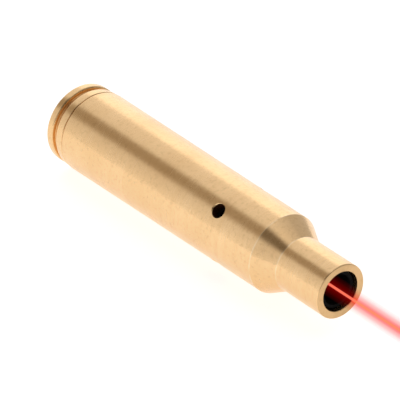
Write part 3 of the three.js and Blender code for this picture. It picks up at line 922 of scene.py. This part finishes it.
def beam_material(name, tint, glow, power):
    """Light in the air: it tints what lies behind it and adds a little of its own, most in its middle."""
    material = bpy.data.materials.new(name)
    material.use_nodes = True
    nodes, links = material.node_tree.nodes, material.node_tree.links
    nodes.remove(nodes["Principled BSDF"])
    weight = nodes.new("ShaderNodeLayerWeight")
    weight.inputs["Blend"].default_value = 0.5
    centre = nodes.new("ShaderNodeMath")
    centre.operation = "SUBTRACT"
    centre.inputs[0].default_value = 1.0
    links.new(weight.outputs["Facing"], centre.inputs[1])
    soft = nodes.new("ShaderNodeMath")
    soft.operation = "POWER"
    soft.inputs[1].default_value = power
    links.new(centre.outputs[0], soft.inputs[0])
    place = nodes.new("ShaderNodeTexCoord")
    split = nodes.new("ShaderNodeSeparateXYZ")
    links.new(place.outputs["Object"], split.inputs[0])
    reach = nodes.new("ShaderNodeMapRange")
    reach.inputs["From Min"].default_value = mm(CASE_LENGTH + BEAM_FULL)
    reach.inputs["From Max"].default_value = mm(CASE_LENGTH + BEAM_LENGTH)
    reach.inputs["To Min"].default_value = 1.0
    reach.inputs["To Max"].default_value = 0.0
    links.new(split.outputs["X"], reach.inputs["Value"])
    faded = nodes.new("ShaderNodeMath")
    faded.operation = "MULTIPLY"
    links.new(soft.outputs[0], faded.inputs[0])
    links.new(reach.outputs["Result"], faded.inputs[1])
    colour = nodes.new("ShaderNodeMix")
    colour.data_type = "RGBA"
    colour.inputs[6].default_value = (1, 1, 1, 1)
    colour.inputs[7].default_value = (*tint, 1)
    links.new(faded.outputs[0], colour.inputs[0])
    clear = nodes.new("ShaderNodeBsdfTransparent")
    links.new(colour.outputs[2], clear.inputs["Color"])
    light = nodes.new("ShaderNodeEmission")
    light.inputs["Color"].default_value = (*glow, 1)
    links.new(faded.outputs[0], light.inputs["Strength"])
    both = nodes.new("ShaderNodeAddShader")
    links.new(clear.outputs[0], both.inputs[0])
    links.new(light.outputs[0], both.inputs[1])
    links.new(both.outputs[0], nodes["Material Output"].inputs["Surface"])
    return material


def make_beam():
    layers = [("beam_core", CORE_R, CORE_LIGHT)]
    for i in range(1, GLOW_LAYERS + 1):
        layers.append((f"beam_glow_{i}", GLOW_R * i / GLOW_LAYERS, GLOW_LIGHT))
    for name, radius, light in layers:
        beam = lathe(
            name,
            [(BEAM_START, radius, 0), (CASE_LENGTH + BEAM_LENGTH, radius, 0)],
            64,
            closed=False,
            longest=100,
        )
        beam.data.materials.append(beam_material(name, *light))
        beam.visible_shadow = False
        beam.visible_diffuse = False
        beam.visible_glossy = False
        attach(beam, "laser_module")


# The studio, by the angle round the object's axis from straight up towards -Y, in degrees: how bright
# the room is behind the object, and beside it. EASE blends each place into the next.
ROOM = (
    (-180, 1.1, 1.0),  # under the object
    (-80, 1.35, 0.55),  # a long soft box behind, on the far side
    (-45, 1.45, 0.55),
    (-30, 0.9, 0.7),  # plain wall overhead
    (5, 0.85, 0.9),
    (20, 0.4, 0.2),  # a dark gap overhead, on the near side
    (35, 0.4, 0.2),
    (55, 0.8, 0.85),  # plain wall on the near side
    (90, 0.95, 0.9),
    (180, 1.0, 1.0),
)
GAP_LEVEL, GAP_TINT = 0.5, (1.0, 0.87, 0.7)  # below this level the room is this colour
AHEAD_SHADE = (0.33, 0.31, 0.27)  # what the room's brightness is multiplied by straight ahead
# Where one part of the room turns into the next, as a direction's X from -1 behind to 1 ahead.
BEHIND_END, BESIDE_START = -0.6, -0.3
BESIDE_END, AHEAD_START = 0.3, 0.6
ROOM_PEAK = 1.6


def make_room():
    world = bpy.data.worlds.new("studio")
    bpy.context.scene.world = world
    world.use_nodes = True
    nodes, links = world.node_tree.nodes, world.node_tree.links
    nodes.clear()

    def ramp(value, stops):
        node = nodes.new("ShaderNodeValToRGB")
        node.color_ramp.interpolation = "EASE"
        elements = node.color_ramp.elements
        while len(elements) < len(stops):
            elements.new(0.5)
        for element, (place, colour) in zip(elements, stops):
            element.position = place
            element.color = (*colour, 1)
        links.new(value, node.inputs["Fac"])
        return node.outputs["Color"]

    where = nodes.new("ShaderNodeTexCoord")
    split = nodes.new("ShaderNodeSeparateXYZ")
    links.new(where.outputs["Generated"], split.inputs[0])
    flip = nodes.new("ShaderNodeMath")
    flip.operation = "MULTIPLY"
    flip.inputs[1].default_value = -1
    links.new(split.outputs["Y"], flip.inputs[0])
    angle = nodes.new("ShaderNodeMath")
    angle.operation = "ARCTAN2"
    links.new(flip.outputs[0], angle.inputs[0])
    links.new(split.outputs["Z"], angle.inputs[1])
    turn = nodes.new("ShaderNodeMapRange")
    turn.inputs["From Min"].default_value = -math.pi
    turn.inputs["From Max"].default_value = math.pi
    links.new(angle.outputs[0], turn.inputs["Value"])

    def around(levels):
        stops = []
        for (degrees, *_), level in zip(ROOM, levels):
            tint = GAP_TINT if level < GAP_LEVEL else (1, 1, 1)
            stops.append(((degrees + 180) / 360, [level / ROOM_PEAK * c for c in tint]))
        return ramp(turn.outputs["Result"], stops)

    def blend(kind, start, end, a, b):
        along = nodes.new("ShaderNodeMapRange")
        along.inputs["From Min"].default_value = start
        along.inputs["From Max"].default_value = end
        links.new(split.outputs["X"], along.inputs["Value"])
        node = nodes.new("ShaderNodeMix")
        node.data_type = "RGBA"
        node.blend_type = kind
        links.new(along.outputs["Result"], node.inputs[0])
        links.new(a, node.inputs[6])
        if isinstance(b, tuple):
            node.inputs[7].default_value = (*b, 1)
        else:
            links.new(b, node.inputs[7])
        return node.outputs[2]

    _, behind, beside = zip(*ROOM)
    level = blend("MIX", BEHIND_END, BESIDE_START, around(behind), around(beside))
    level = blend("MULTIPLY", BESIDE_END, AHEAD_START, level, AHEAD_SHADE)
    room = nodes.new("ShaderNodeBackground")
    room.inputs["Strength"].default_value = ROOM_PEAK
    links.new(level, room.inputs["Color"])
    white = nodes.new("ShaderNodeBackground")
    white.inputs["Color"].default_value = (1, 1, 1, 1)
    path = nodes.new("ShaderNodeLightPath")
    choice = nodes.new("ShaderNodeMixShader")
    links.new(path.outputs["Is Camera Ray"], choice.inputs["Fac"])
    links.new(room.outputs[0], choice.inputs[1])
    links.new(white.outputs[0], choice.inputs[2])
    out = nodes.new("ShaderNodeOutputWorld")
    links.new(choice.outputs[0], out.inputs["Surface"])


def make_camera():
    camera = bpy.data.cameras.new("camera")
    camera.lens = LENS_MM
    camera.sensor_width = SENSOR_MM
    obj = bpy.data.objects.new("camera", camera)
    bpy.context.scene.collection.objects.link(obj)
    back = Vector(
        (
            math.sin(VIEW_AZIMUTH) * math.cos(VIEW_ELEVATION),
            -math.cos(VIEW_AZIMUTH) * math.cos(VIEW_ELEVATION),
            math.sin(VIEW_ELEVATION),
        )
    )
    obj.location = (Vector(VIEW_AIM) + back * VIEW_DISTANCE) * 0.001
    obj.rotation_mode = "QUATERNION"
    obj.rotation_quaternion = (-back).to_track_quat("-Z", "Y")
    camera.clip_start, camera.clip_end = 0.01, 5.0
    bpy.context.scene.camera = obj


make_camera()
make_room()
make_shell()
make_cap()
make_cells()
make_module()
make_diode()
make_driver()
make_screws()
make_floor()
make_beam()
bpy.context.scene.view_settings.view_transform = "Standard"
